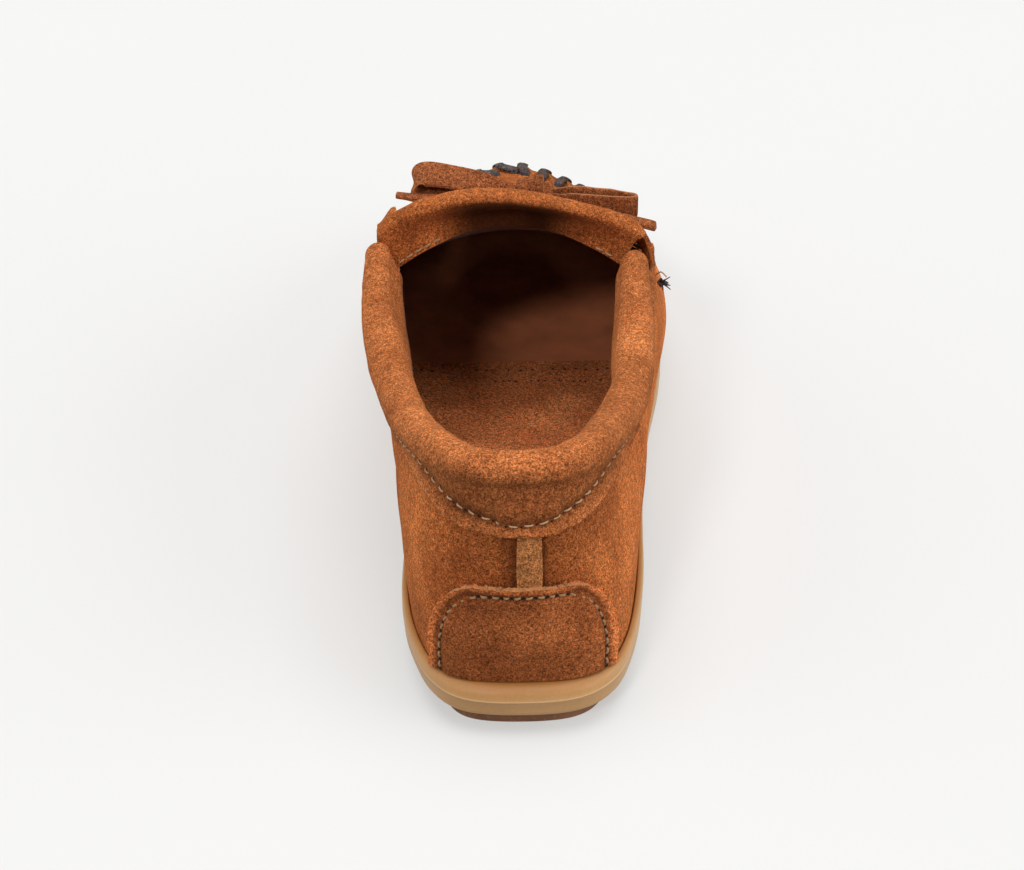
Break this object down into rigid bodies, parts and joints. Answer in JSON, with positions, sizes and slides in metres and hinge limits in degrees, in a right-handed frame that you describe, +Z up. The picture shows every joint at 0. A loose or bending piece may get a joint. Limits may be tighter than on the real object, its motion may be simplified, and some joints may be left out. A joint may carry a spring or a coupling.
{
  "type": "moccasin",
  "caption": "Right-foot slip-on kiltie moccasin: suede wrap upper, padded collar, whip-laced plug, fringed kiltie with a bow, and a gum rubber cupsole on a heel lift.",
  "frame": {"origin": "on the floor, under the middle of the heel, on the underside of the heel lift", "axes": "+Y from the heel to the toe, +X to the outer side of the right foot, +Z up"},
  "size_m": [0.0861, 0.2573, 0.0795],
  "materials": {
    "suede": "rust brown suede with a short nap",
    "lace_suede": "flat suede lace",
    "gum_rubber": "translucent honey gum, satin",
    "lift_rubber": "dark brown, matt",
    "fibre_board": "cellulose fibre board",
    "foam": "brown lining over foam",
    "thread": "cream polyester thread",
    "whip_lace": "charcoal flat lace"
  },
  "bodies": {
    "shoe": {"outsole": "gum_rubber", "heel_lift": "lift_rubber", "insole_board": "fibre_board", "insole_foam": "foam", "half_sock": "suede", "wrap_upper": "suede", "heel_counter": "fibre_board", "heel_strip": "suede", "heel_patch": "suede", "heel_patch_stitching": "thread", "collar": "suede", "collar_padding": "foam", "collar_stitching": "thread", "plug": "suede", "whip_lace": "whip_lace", "kiltie_tongue": "suede", "throat_stitching": "thread"},
    "kiltie": {"kiltie_flap": "suede", "bow_knot": "lace_suede", "lace_tail_left": "lace_suede", "lace_tail_right": "lace_suede"},
    "bow_left": {"bow_loop_left": "lace_suede"},
    "bow_right": {"bow_loop_right": "lace_suede"}
  },
  "joints": [
    {"name": "kiltie_lift", "type": "hinge", "parent": "shoe", "child": "kiltie", "pos_m": [0, 0.088, 0.076], "axis": [1, 0, 0], "range_deg": [0, 75]},
    {"name": "bow_left_lift", "type": "hinge", "parent": "kiltie", "child": "bow_left", "pos_m": [-0.0007, 0.1, 0.0724], "axis": [0, 1, 0], "range_deg": [0, 35]},
    {"name": "bow_right_lift", "type": "hinge", "parent": "kiltie", "child": "bow_right", "pos_m": [0.0091, 0.1, 0.0724], "axis": [0, -1, 0], "range_deg": [0, 35]}
  ]
}
